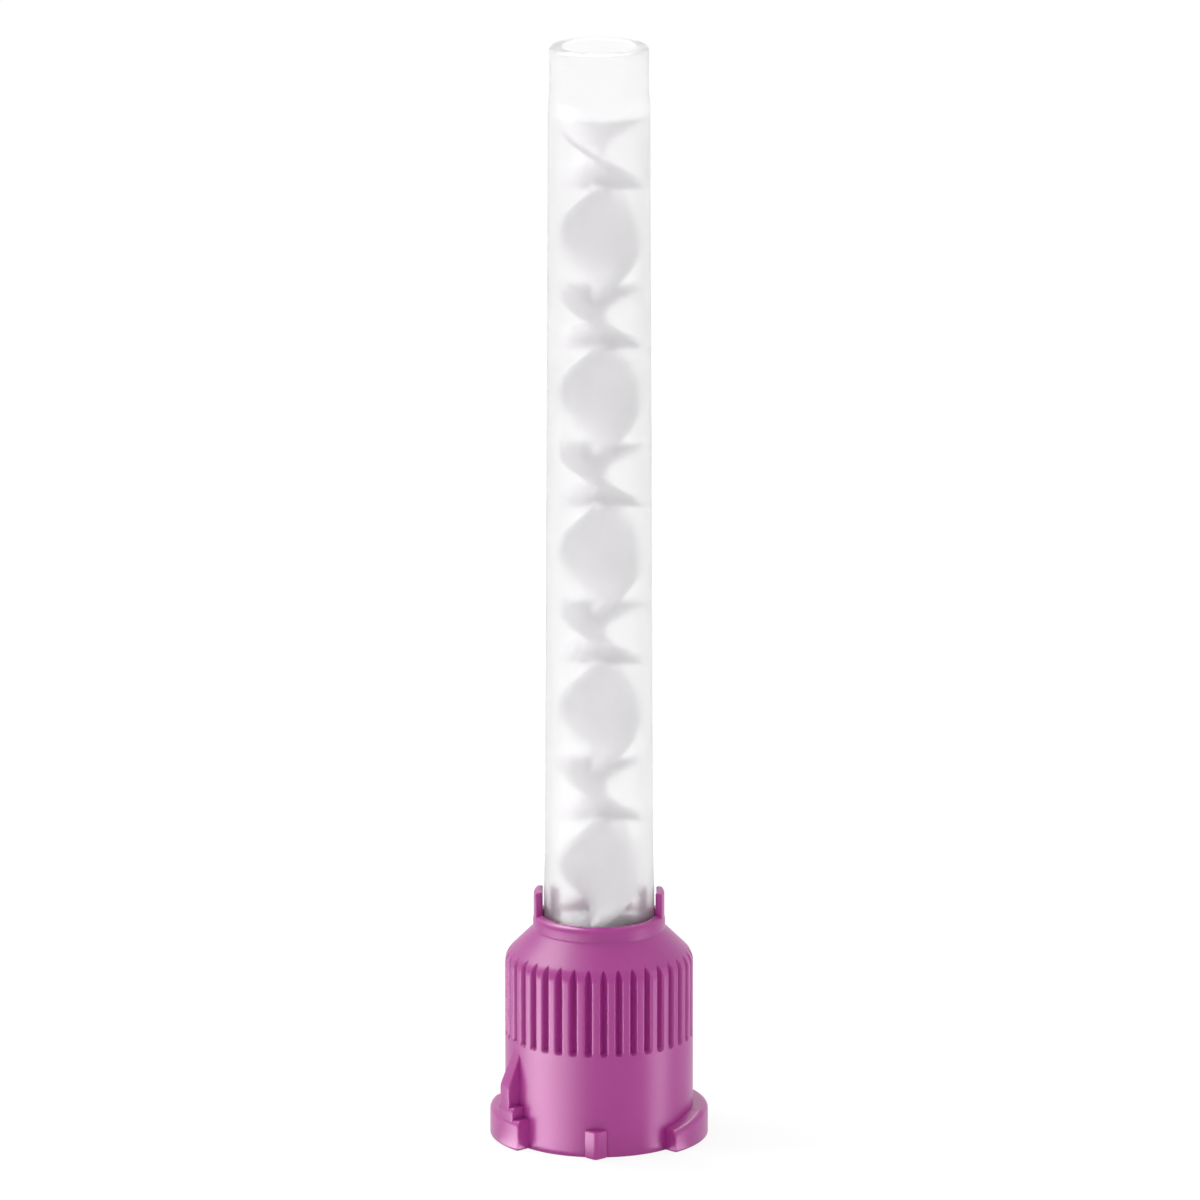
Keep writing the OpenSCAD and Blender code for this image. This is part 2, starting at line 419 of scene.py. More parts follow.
def rib_tree() -> Tree:
    """Build the tree that sinks a band into a turned skirt and leaves upright ribs standing in it.

    Returns:
        The tree, which moves each point in to the band's floor or its nearest rib's flank.
    """
    wiring, given = geometry_tree("Grip ribs", {
        "Geometry": "NodeSocketGeometry",
        "Count": "NodeSocketInt",
        "Skirt Radius": "NodeSocketFloat",
        "Depth": "NodeSocketFloat",
        "Root Width": "NodeSocketFloat",
        "Crest Share": "NodeSocketFloat",
        "Root Share": "NodeSocketFloat",
        "Crown": "NodeSocketFloat",
        "Low Height": "NodeSocketFloat",
        "Rise": "NodeSocketFloat",
        "Softness": "NodeSocketFloat",
    })
    place = wiring.node("GeometryNodeInputPosition").outputs[0]
    x, y, z = wiring.node("ShaderNodeSeparateXYZ", {0: place}).outputs
    radius = wiring.math("SQRT", wiring.plus(wiring.times(x, x), wiring.times(y, y)))
    angle = wiring.math("ARCTAN2", y, x)
    pitch = wiring.over(2 * math.pi, given["Count"])
    rib = wiring.times(wiring.plus(wiring.math("FLOOR", wiring.over(angle, pitch)), 0.5), pitch)
    off_rib = wiring.math("SINE", wiring.minus(angle, rib))
    aside = wiring.math("ABSOLUTE", wiring.times(radius, off_rib))
    across = wiring.math("MINIMUM", wiring.over(wiring.times(aside, 2.0), given["Root Width"]), 1.0)
    steep = wiring.node("ShaderNodeMapRange", {
        "Value": across,
        "From Min": given["Crest Share"],
        "From Max": given["Root Share"],
        "To Min": wiring.minus(1.0, given["Crown"]),
        "To Max": 0.0,
    }, interpolation_type="SMOOTHSTEP").outputs[0]
    crowned = wiring.times(given["Crown"], wiring.minus(1.0, wiring.times(across, across)))
    flank = wiring.plus(steep, crowned)
    sunk = wiring.over(wiring.minus(z, given["Low Height"]), given["Rise"])
    slope = wiring.minus(given["Skirt Radius"], wiring.times(given["Depth"], sunk))
    flat = wiring.minus(given["Skirt Radius"], given["Depth"])
    floor = wiring.math("SMOOTH_MAX", slope, flat, given["Softness"])
    crest = wiring.plus(given["Skirt Radius"], given["Softness"])
    wall = wiring.plus(floor, wiring.times(wiring.minus(crest, floor), flank))
    scale = wiring.over(wiring.math("SMOOTH_MIN", radius, wall, given["Softness"]), radius)
    moved = wiring.node("ShaderNodeCombineXYZ", {
        0: wiring.times(x, scale),
        1: wiring.times(y, scale),
        2: z,
    })
    pressed = wiring.node("GeometryNodeSetPosition", {
        "Geometry": given["Geometry"],
        "Position": moved.outputs[0],
    })
    close_tree(wiring, pressed.outputs[0], given["Material"])
    return wiring.tree


def blade_tree() -> Tree:
    """Build the tree that stacks twisted blades which turn left and right by turns.

    Returns:
        The tree, which needs no geometry to start from.
    """
    wiring, given = geometry_tree("Mixing blades", {
        "Count": "NodeSocketInt",
        "Foot Height": "NodeSocketFloat",
        "Length": "NodeSocketFloat",
        "Reach": "NodeSocketFloat",
        "Overlap": "NodeSocketFloat",
        "Width": "NodeSocketFloat",
        "Thickness": "NodeSocketFloat",
        "Edge Rounding": "NodeSocketFloat",
        "Edge Steps": "NodeSocketInt",
        "Turn": "NodeSocketFloat",
        "Rows": "NodeSocketInt",
    })
    height = wiring.plus(given["Length"], wiring.times(given["Overlap"], 2.0))
    top = wiring.node("ShaderNodeCombineXYZ", {2: height})
    spine = wiring.node("GeometryNodeCurvePrimitiveLine", {"End": top.outputs[0]})
    rows = wiring.node("GeometryNodeResampleCurve", {
        "Curve": spine.outputs[0],
        "Count": given["Rows"],
    }, mode="COUNT")
    section = wiring.node("GeometryNodeCurvePrimitiveQuadrilateral", {
        "Width": given["Width"],
        "Height": given["Thickness"],
    })
    rounded = wiring.node("GeometryNodeFilletCurve", {
        "Curve": section.outputs[0],
        "Radius": given["Edge Rounding"],
        "Count": given["Edge Steps"],
    }, mode="POLY")
    prism = wiring.node("GeometryNodeCurveToMesh", {
        "Curve": rows.outputs[0],
        "Profile Curve": rounded.outputs[0],
        "Fill Caps": True,
    })
    place = wiring.node("GeometryNodeInputPosition").outputs[0]
    share = wiring.over(wiring.node("ShaderNodeSeparateXYZ", {0: place}).outputs[2], height)
    index = wiring.node("GeometryNodeInputIndex").outputs[0]
    parity = wiring.math("MODULO", index, 2.0)
    sway = wiring.times(given["Reach"], wiring.minus(1.0, wiring.times(parity, 2.0)))
    above = wiring.minus(wiring.minus(given["Count"], 1.0), index)
    low_shift = wiring.times(sway, wiring.math("MINIMUM", index, 1.0))
    top_shift = wiring.times(sway, wiring.math("MINIMUM", above, 1.0))
    stretch = wiring.minus(1.0, wiring.over(wiring.plus(low_shift, top_shift), height))
    line = wiring.node("GeometryNodeMeshLine", {
        "Count": given["Count"],
        "Start Location": wiring.node("ShaderNodeCombineXYZ", {
            2: wiring.minus(given["Foot Height"], given["Overlap"]),
        }).outputs[0],
        "Offset": wiring.node("ShaderNodeCombineXYZ", {2: given["Length"]}).outputs[0],
    }, mode="OFFSET", count_mode="TOTAL")
    feet = wiring.node("GeometryNodeSetPosition", {
        "Geometry": line.outputs[0],
        "Offset": wiring.node("ShaderNodeCombineXYZ", {2: low_shift}).outputs[0],
    })
    joined = wiring.node("GeometryNodeJoinGeometry")
    for twist in (Twist.LEFT, Twist.RIGHT):
        angle = wiring.times(wiring.times(share, given["Turn"]), float(twist))
        twisted = wiring.node("GeometryNodeSetPosition", {
            "Geometry": prism.outputs[0],
            "Position": wiring.node("ShaderNodeVectorRotate", {
                "Vector": place,
                "Angle": angle,
            }, rotation_type="Z_AXIS").outputs[0],
        })
        odd = twist is Twist.RIGHT
        start = wiring.minus(math.pi / 2, given["Turn"])
        stacked = wiring.node("GeometryNodeInstanceOnPoints", {
            "Points": feet.outputs[0],
            "Selection": parity if odd else wiring.minus(1.0, parity),
            "Instance": twisted.outputs[0],
            "Rotation": wiring.node("ShaderNodeCombineXYZ", {2: start if odd else 0.0}).outputs[0],
            "Scale": wiring.node("ShaderNodeCombineXYZ", {0: 1.0, 1: 1.0, 2: stretch}).outputs[0],
        })
        wiring.tree.links.new(stacked.outputs[0], joined.inputs[0])
    blades = wiring.node("GeometryNodeRealizeInstances", {"Geometry": joined.outputs[0]})
    united = wiring.node("GeometryNodeMeshBoolean", {
        "Mesh 2": blades.outputs[0],
        "Self Intersection": True,
    }, operation="UNION", solver="EXACT")
    close_tree(wiring, united.outputs[0], given["Material"])
    return wiring.tree


def moulded_surface() -> Tree:
    """Build the shader group that every moulded finish shares.

    Returns:
        The group, which gives a clouded colour, an uneven gloss and the fine skin of a tool face.
    """
    wiring = Wiring(bpy.data.node_groups.new("Moulded surface", "ShaderNodeTree"))
    wiring.socket("Colour", "NodeSocketColor")
    wiring.socket("Cloud Colour", "NodeSocketColor")
    wiring.socket("Cloud Scale", "NodeSocketFloat", default=120.0)
    wiring.socket("Gloss Low", "NodeSocketFloat", default=0.3)
    wiring.socket("Gloss High", "NodeSocketFloat", default=0.5)
    wiring.socket("Skin Scale", "NodeSocketFloat", default=6000.0)
    for label, kind in (("Colour", "Color"), ("Roughness", "Float"), ("Height", "Float")):
        wiring.socket(label, f"NodeSocket{kind}", "OUTPUT")
    cloud_detail, cloud_fineness, skin_detail = 3.0, 0.55, 2.0
    cloud_share, skin_share = 0.6, 0.4
    least_noise, most_noise = 0.3, 0.7
    given = wiring.node("NodeGroupInput").outputs
    place = wiring.node("ShaderNodeTexCoord").outputs["Object"]
    cloud = wiring.node("ShaderNodeTexNoise", {
        "Vector": place,
        "Scale": given["Cloud Scale"],
        "Detail": cloud_detail,
        "Roughness": cloud_fineness,
    }).outputs["Fac"]
    skin = wiring.node("ShaderNodeTexNoise", {
        "Vector": place,
        "Scale": given["Skin Scale"],
        "Detail": skin_detail,
    }).outputs["Fac"]
    mixed = wiring.node("ShaderNodeMix", {
        "Factor": cloud,
        6: given["Colour"],
        7: given["Cloud Colour"],
    }, data_type="RGBA")
    gloss = wiring.node("ShaderNodeMapRange", {
        "Value": wiring.plus(wiring.times(cloud, cloud_share), wiring.times(skin, skin_share)),
        "From Min": least_noise,
        "From Max": most_noise,
        "To Min": given["Gloss Low"],
        "To Max": given["Gloss High"],
    })
    wiring.node("NodeGroupOutput", {
        "Colour": mixed.outputs[2],
        "Roughness": gloss.outputs[0],
        "Height": skin,
    })
    return wiring.tree


@dataclass(frozen=True)
class MouldedFinish:
    """A moulded plastic with a clouded colour and a fine skin.

    Attributes:
        name: Name of the material.
        colour: Main colour.
        cloud: Colour of the faint clouds in it.
        gloss: Lowest and highest roughness.
        skin: Depth of the fine skin.
        ior: Index of refraction.
        transmission: Share of light that passes through.
        scatter: Share of light that scatters below the surface.
        scatter_depth: How far the red, green and blue light scatters.
    """

    name: str
    colour: Colour
    cloud: Colour
    gloss: tuple[float, float]
    skin: float = 0.004 * MM
    ior: float = 1.49
    transmission: float = 0.0
    scatter: float = 0.0
    scatter_depth: tuple[float, float, float] = (0.6 * MM, 0.6 * MM, 0.6 * MM)

    def material(self, surface: Tree) -> Finish:
        """Make the material.

        Args:
            surface: The shared group of a moulded surface.

        Returns:
            The new material.
        """
        material = bpy.data.materials.new(self.name)
        material.diffuse_color = self.colour
        wiring = emptied(material)
        group = wiring.node("ShaderNodeGroup", node_tree=surface)
        group.inputs["Colour"].default_value = self.colour
        group.inputs["Cloud Colour"].default_value = self.cloud
        group.inputs["Gloss Low"].default_value = self.gloss[0]
        group.inputs["Gloss High"].default_value = self.gloss[1]
        bump = wiring.node("ShaderNodeBump", {
            "Height": group.outputs["Height"],
            "Distance": self.skin,
        })
        shader = wiring.node("ShaderNodeBsdfPrincipled", {
            "Base Color": group.outputs["Colour"],
            "Roughness": group.outputs["Roughness"],
            "Normal": bump.outputs[0],
            "IOR": self.ior,
            "Transmission Weight": self.transmission,
            "Subsurface Weight": self.scatter,
            "Subsurface Radius": self.scatter_depth,
            "Subsurface Scale": 1.0,
        })
        wiring.node("ShaderNodeOutputMaterial", {"Surface": shader.outputs[0]})
        return material


PINK_CAP = MouldedFinish(
    name="pink_cap",
    colour=(0.305, 0.0235, 0.207, 1.0),
    cloud=(0.335, 0.029, 0.231, 1.0),
    gloss=(0.29, 0.39),
    scatter=0.4,
    scatter_depth=(1.0 * MM, 0.35 * MM, 0.7 * MM),
)
FROSTED_TUBE = MouldedFinish(
    name="frosted_tube",
    colour=(0.98, 0.975, 0.98, 1.0),
    cloud=(0.995, 0.99, 0.995, 1.0),
    gloss=(0.28, 0.3),
    ior=1.36,
    transmission=0.94,
)
WHITE_INSERT = MouldedFinish(
    name="white_insert",
    colour=(0.945, 0.935, 0.945, 1.0),
    cloud=(0.97, 0.96, 0.97, 1.0),
    gloss=(0.45, 0.6),
    scatter=0.2,
)


def dressed(piece: Solid, material: Finish, body: str, node: str) -> None:
    """Give a piece its finish and its place in the part.

    Args:
        piece: The finished piece.
        material: Its only material.
        body: The body that it moves with.
        node: The node that it stands for.
    """
    piece.data.materials.clear()
    piece.data.materials.append(material)
    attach(piece, body)
    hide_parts(node)
    LOG.info("%s: %d faces", piece.name, len(piece.data.polygons))


@dataclass
class CouplingCap:
    """The turning cap: ribbed skirt, cone, collar with two lips, bayonet lugs and key rib."""

    skirt_r: float = 7.62 * MM
    bore_r: float = 6.32 * MM
    base_round: float = 0.12 * MM
    cone_top_z: float = 17.3 * MM
    cone_angle: float = math.radians(45.3)
    shoulder_round: float = 1.55 * MM
    collar_r: float = 5.35 * MM
    collar_bore_r: float = 4.66 * MM
    collar_h: float = 1.2 * MM
    collar_round: float = 0.52 * MM
    collar_foot_round: float = 0.2 * MM
    seat_z: float = 16.0 * MM
    seat_r: float = 5.16 * MM
    bead_z: float = 3.0 * MM
    bead_h: float = 0.7 * MM
    bead_in: float = 0.36 * MM
    lip_in: float = 0.06 * MM
    lip_h: float = 3.1 * MM
    lip_span: float = 28.0
    lip_round: float = 0.3 * MM
    lip_edge: float = 0.18 * MM
    rib_count: int = 38
    rib_steps: int = 20
    rib_root_w: float = 1.24 * MM
    rib_crest: float = 0.45
    rib_root: float = 0.8
    rib_crown: float = 0.6
    groove_depth: float = 0.55 * MM
    groove_low_z: float = 8.38 * MM
    groove_rise: float = 0.3 * MM
    groove_softness: float = 0.05 * MM
    lug_r: float = 8.845 * MM
    lug_h: float = 2.5 * MM
    lug_lift: float = 0.03 * MM
    lug_span: float = 87.0
    lug_round: float = 0.45 * MM
    ramp_low_h: float = 1.75 * MM
    ramp_l: float = 4.0 * MM
    stop_in: float = 0.06 * MM
    stop_z: float = 3.44 * MM
    stop_from: float = 5.0
    stop_span: float = 16.0
    gusset_in: float = 0.12 * MM
    gusset_from: float = 9.0
    gusset_span: float = 9.5
    gusset_low_z: float = 5.0 * MM
    gusset_top_z: float = 7.73 * MM
    gusset_round: float = 1.2 * MM
    key_w: float = 1.8 * MM
    key_h: float = 2.34 * MM
    key_out: float = 0.88 * MM
    key_side: float = 0.15 * MM
    key_round: float = 0.3 * MM
    edge: float = 0.12 * MM
    root: float = 0.3 * MM
    sink_rows: int = 14
    grip_rows: int = 8
    shoulder_steps: int = 24
    cone_rows: int = 8
    cone_rows_from: float = 0.24
    cone_rows_to: float = 0.4
    lip_steps: int = 24
    gusset_steps: int = 8
    least_steps: int = 4
    step_turn: float = 1.5

    def skirt(self) -> Solid:
        """Turn the skirt, cone and collar, with the room inside.

        Returns:
            The turned body, with rows of points where the ribs will be.
        """
        slope = math.tan(self.cone_angle)
        shoulder_z = self.cone_top_z - (self.skirt_r - self.collar_r) / slope
        sunk_z = self.groove_low_z + self.groove_rise
        sink = levels(self.groove_low_z - self.base_round, sunk_z + self.base_round, self.sink_rows)
        bend_z = shoulder_z - self.shoulder_round * math.tan(self.cone_angle / 2)
        grip = levels(sink[-1], bend_z, self.grip_rows)
        cone = Vector((self.collar_r - self.skirt_r, self.cone_top_z - shoulder_z))
        collar_z = self.cone_top_z + self.collar_h
        room_z = self.seat_z - (self.bore_r - self.seat_r) / slope
        bead_low_z = self.bead_z - self.bead_h
        lead_z = bead_low_z - 2 * self.bead_in
        body = [
            Corner(self.bore_r, 0.0, self.base_round),
            Corner(self.skirt_r, 0.0, self.base_round),
            *(Corner(self.skirt_r, z) for z in (self.lug_h, *sink, *grip[1:-1])),
        ]
        shoulder = outline([
            Corner(self.skirt_r, grip[-2]),
            Corner(self.skirt_r, shoulder_z, self.shoulder_round),
            Corner(self.collar_r, self.cone_top_z),
        ], steps=self.shoulder_steps)[1:-1]
        for share in levels(self.cone_rows_from, self.cone_rows_to, self.cone_rows):
            shoulder.append(Vector((self.skirt_r, shoulder_z)) + cone * share)
        top = [
            Corner(self.collar_r, self.cone_top_z, self.collar_foot_round),
            Corner(self.collar_r, collar_z, self.collar_round),
            Corner(self.collar_bore_r, collar_z, self.edge),
            Corner(self.collar_bore_r, self.seat_z, self.edge / 2),
            Corner(self.seat_r, self.seat_z),
            Corner(self.bore_r, room_z, self.root),
            Corner(self.bore_r, self.bead_z),
            Corner(self.bore_r - self.bead_in, self.bead_z, self.edge),
            Corner(self.bore_r - self.bead_in, bead_low_z, self.edge),
            Corner(self.bore_r, lead_z),
        ]
        rounded = [Corner(p.x, p.y) for p in shoulder]
        points = outline([*body, *rounded, *top])
        return turned("coupling_cap_body", points, self.rib_count * self.rib_steps)

    def lip(self, middle: float) -> Solid:
        """Make one lip of the collar.

        Args:
            middle: Direction of the lip's middle, in degrees.

        Returns:
            The lip with rounded edges.
        """
        inner, outer = self.collar_bore_r + self.lip_in, self.collar_r - self.lip_in
        low, high = self.cone_top_z - self.root, self.cone_top_z + self.lip_h
        points = outline([
            Corner(inner, low),
            Corner(outer, low),
            Corner(outer, high, self.lip_round),
            Corner(inner, high, self.edge),
        ])
        return softened(sector("lip", points, middle, self.lip_span, self.lip_steps), self.lip_edge)

    def step(
        self, name: str, outer: float, top: float, middle: float, span: float, low: float
    ) -> Solid:
        """Make a block round the skirt with a rounded outer top edge.

        Args:
            name: Name of the new object.
            outer: Its reach from the axis.
            top: Height of its top.
            middle: Direction of its middle, in degrees.
            span: Turn that it covers, in degrees.
            low: Height of its underside.

        Returns:
            The block with sharp ends.
        """
        points = outline([
            Corner(self.skirt_r - self.root, low),
            Corner(outer, low),
            Corner(outer, top, self.lug_round),
            Corner(self.skirt_r - self.root, top),
        ])
        steps = max(self.least_steps, round(span / self.step_turn))
        return sector(name, points, middle, span, steps)

    def lug(self, middle: float) -> Solid:
        """Make one bayonet lug with its ramped leading end.

        Args:
            middle: Direction of the lug's middle, in degrees.

        Returns:
            The lug with rounded edges.
        """
        piece = self.step("lug", self.lug_r, self.lug_h, middle, self.lug_span, self.lug_lift)
        facing = -1 if math.cos(math.radians(middle)) < 0 else 1
        lead = self.lug_r * math.sin(math.radians(self.lug_span / 2))
        for vertex in piece.data.vertices:
            from_end = vertex.co.y * facing + lead
            drop = (self.lug_h - self.ramp_low_h) * (1 - min(max(from_end / self.ramp_l, 0.0), 1.0))
            if vertex.co.z > self.ramp_low_h / 2:
                vertex.co.z -= drop
        return softened(piece, self.edge)

    def keyed_stop(self) -> list[Solid]:
        """Make the stop step and its gusset at the front end of the keyed lug.

        Returns:
            The two solids.
        """
        end = 180 + self.lug_span / 2
        low = self.lug_h / 2
        middle = end - self.stop_from - self.stop_span / 2
        outer = self.lug_r - self.stop_in
        stop = self.step("stop", outer, self.stop_z, middle, self.stop_span, low)
        face = self.lug_r - self.gusset_in
        rise = (self.gusset_top_z - self.gusset_low_z) / (face - self.skirt_r)
        points = outline([
            Corner(self.skirt_r - self.root, low),
            Corner(face, low),
            Corner(face, self.gusset_low_z, self.gusset_round),
            Corner(self.skirt_r - self.root, self.gusset_top_z + self.root * rise),
        ])
        middle = end - self.gusset_from - self.gusset_span / 2
        gusset = sector("gusset", points, middle, self.gusset_span, self.gusset_steps)
        return [softened(stop, self.edge), softened(gusset, self.edge)]

    def key_rib(self) -> Solid:
        """Make the ridged key rib on the front of the base.

        Returns:
            The rib with rounded edges.
        """
        ridge = -self.skirt_r - self.key_out
        side = -self.skirt_r - self.key_side
        back = -self.skirt_r + self.root
        flank = math.atan2(self.key_out - self.key_side, self.key_w / 2)
        lift = self.key_round * (1 / math.cos(flank) - 1)
        points = outline([
            Corner(-self.key_w / 2, back),
            Corner(-self.key_w / 2, side),
            Corner(0.0, ridge - lift, self.key_round),
            Corner(self.key_w / 2, side),
            Corner(self.key_w / 2, back),
        ])
        bm = bmesh.new()
        face = bm.faces.new([bm.verts.new((p.x, p.y, self.lug_lift)) for p in points])
        raised = bmesh.ops.extrude_face_region(bm, geom=[face])["geom"]
        for vertex in raised:
            if isinstance(vertex, bmesh.types.BMVert):
                vertex.co.z = self.key_h
        return softened(mesh_object("key_rib", bm), self.edge)

    def build(self, material: Finish) -> Solid:
        """Build the whole cap.

        Args:
            material: The cap's finish.

        Returns:
            The cap as one mesh.
        """
        cap = grown(self.skirt(), rib_tree(), {
            "Count": self.rib_count,
            "Skirt Radius": self.skirt_r,
            "Depth": self.groove_depth,
            "Root Width": self.rib_root_w,
            "Crest Share": self.rib_crest,
            "Root Share": self.rib_root,
            "Crown": self.rib_crown,
            "Low Height": self.groove_low_z,
            "Rise": self.groove_rise,
            "Softness": self.groove_softness,
            "Material": material,
        })
        lugs, lips = ([make(middle) for middle in (0.0, 180.0)] for make in (self.lug, self.lip))
        combined(cap, [*lugs, self.key_rib(), *self.keyed_stop(), *lips], "UNION")
        cap.name = cap.data.name = "turning_cap"
        dressed(shaded(cap), material, "cap", "coupling_cap")
        return cap


@dataclass
class MixerHousing:
    """The frosted tube with its bell inside the cap and its stepped outlet."""

    bell_r: float = 6.24 * MM
    bell_bore_r: float = 5.30 * MM
    bell_low_z: float = 3.0 * MM
    seat_z: float = 16.0 * MM
    seat_r: float = 5.16 * MM
    seat_rim: float = 0.5 * MM
    cone_angle: float = math.radians(45.3)
    foot_r: float = 4.46 * MM
    foot_z: float = 20.6 * MM
    taper_z: float = 23.6 * MM
    tube_low_r: float = 4.37 * MM
    tube_top_r: float = 4.085 * MM
    spigot_r: float = 3.98 * MM
    spigot_l: float = 3.8 * MM
    step_l: float = 1.0 * MM
    rim_z: float = 90.0 * MM
    rim_round: float = 0.36 * MM
    mouth_r: float = 2.95 * MM
    mouth_l: float = 1.1 * MM
    outlet_r: float = 2.7 * MM
    outlet_cone_l: float = 0.9 * MM
    disc_z: float = 12.7 * MM
    ledge_w: float = 0.4 * MM
    mix_r: float = 3.348 * MM
    blades_z: float = 84.51 * MM
    blade_stop_w: float = 0.2 * MM
    edge: float = 0.1 * MM
    fillet: float = 0.4 * MM
    segments: int = 160

    def build(self, material: Finish) -> Solid:
        """Turn the whole housing.

        Args:
            material: The housing's finish.

        Returns:
            The housing as one mesh.
        """
        slope = math.tan(self.cone_angle)
        throat = self.bell_bore_r - self.ledge_w
        seat_low_z = self.seat_z - self.seat_rim
        spigot_z = self.rim_z - self.spigot_l
        points = outline([
            Corner(self.bell_bore_r, self.bell_low_z, self.edge),
            Corner(self.bell_r, self.bell_low_z, self.edge),
            Corner(self.bell_r, seat_low_z - (self.bell_r - self.seat_r) / slope, self.fillet),
            Corner(self.seat_r, seat_low_z),
            Corner(self.seat_r, self.seat_z, self.edge),
            Corner(self.foot_r, self.seat_z, self.edge),
            Corner(self.foot_r, self.foot_z, self.fillet),
            Corner(self.tube_low_r, self.taper_z, self.fillet),
            Corner(self.tube_top_r, spigot_z - self.step_l, self.fillet),
            Corner(self.spigot_r, spigot_z, self.fillet),
            Corner(self.spigot_r, self.rim_z, self.rim_round),
            Corner(self.mouth_r, self.rim_z, self.edge * 2),
            Corner(self.mouth_r, self.rim_z - self.mouth_l),
            Corner(self.outlet_r, self.rim_z - self.mouth_l),
            Corner(self.outlet_r, self.blades_z + self.outlet_cone_l, self.fillet),
            Corner(self.mix_r - self.blade_stop_w, self.blades_z),
            Corner(self.mix_r, self.blades_z),
            Corner(self.mix_r, self.disc_z + (throat - self.mix_r) / slope, self.fillet),
            Corner(throat, self.disc_z),
            Corner(self.bell_bore_r, self.disc_z),
        ])
        tube = turned("frosted_tube", points, self.segments)
        dressed(shaded(tube), material, "mixer", "mixer_housing")
        return tube


@dataclass
class MixingElement:
    """The white insert: inlet disc with two tubes, and the row of twisted blades."""

    count: int = 11
    length: float = 6.51 * MM
    reach: float = 0.88 * MM
    overlap: float = 0.2 * MM
    width: float = 6.5 * MM
    thickness: float = 1.0 * MM
    rounding: float = 0.16 * MM
    rounding_steps: int = 3
    turn: float = math.pi
    rows: int = 41
    disc_z: float = 12.7 * MM
    disc_h: float = 2.4 * MM
    disc_r: float = 5.28 * MM
    inlet_r: float = 1.9 * MM
    inlet_bore_r: float = 1.3 * MM
    inlet_x: float = 2.45 * MM
    inlet_z: float = 2.0 * MM
    edge: float = 0.15 * MM
    edge_steps: int = 4
    segments: int = 96
    tube_phase: float = 0.5
    bore_phase: float = 0.25

    def post(
        self, name: str, x: float, radius: float, low: float, high: float, phase: float = 0.0
    ) -> Solid:
        """Turn a solid round post.

        Args:
            name: Name of the new object.
            x: Where its axis stands along X.
            radius: Its radius.
            low: Height of its lower end.
            high: Height of its upper end.
            phase: Share of a step that keeps its points off the spokes of other posts.

        Returns:
            The closed post.
        """
        points = outline([
            Corner(0.0, low),
            Corner(radius, low, self.edge),
            Corner(radius, high, self.edge),
            Corner(0.0, high),
        ], steps=self.edge_steps)
        return turned(name, points, self.segments, Vector((x, 0.0)), phase)

    def build(self, material: Finish) -> Solid:
        """Build the whole insert.

        Args:
            material: The insert's finish.

        Returns:
            The insert as one mesh.
        """
        carrier = bpy.data.objects.new("blades", bpy.data.meshes.new("blades"))
        bpy.context.scene.collection.objects.link(carrier)
        blades = grown(carrier, blade_tree(), {
            "Count": self.count,
            "Foot Height": self.disc_z,
            "Length": self.length,
            "Reach": self.reach,
            "Overlap": self.overlap,
            "Width": self.width,
            "Thickness": self.thickness,
            "Edge Rounding": self.rounding,
            "Edge Steps": self.rounding_steps,
            "Turn": self.turn,
            "Rows": self.rows,
            "Material": material,
        })
        under = self.disc_z - self.disc_h
        element = self.post("helical_insert", 0.0, self.disc_r, under, self.disc_z)
        middle = self.disc_z - self.disc_h / 2
        low, high = self.inlet_z - self.disc_h, self.disc_z + self.disc_h
        tubes, bores = [], []
        for x in (-self.inlet_x, self.inlet_x):
            tubes.append(self.post("inlet", x, self.inlet_r, self.inlet_z, middle, self.tube_phase))
            bores.append(self.post("bore", x, self.inlet_bore_r, low, high, self.bore_phase))
        combined(element, tubes, "UNION")
        combined(element, bores, "DIFFERENCE")
        combined(element, [blades], "UNION")
        dressed(shaded(element), material, "mixer", "mixing_element")
        return element


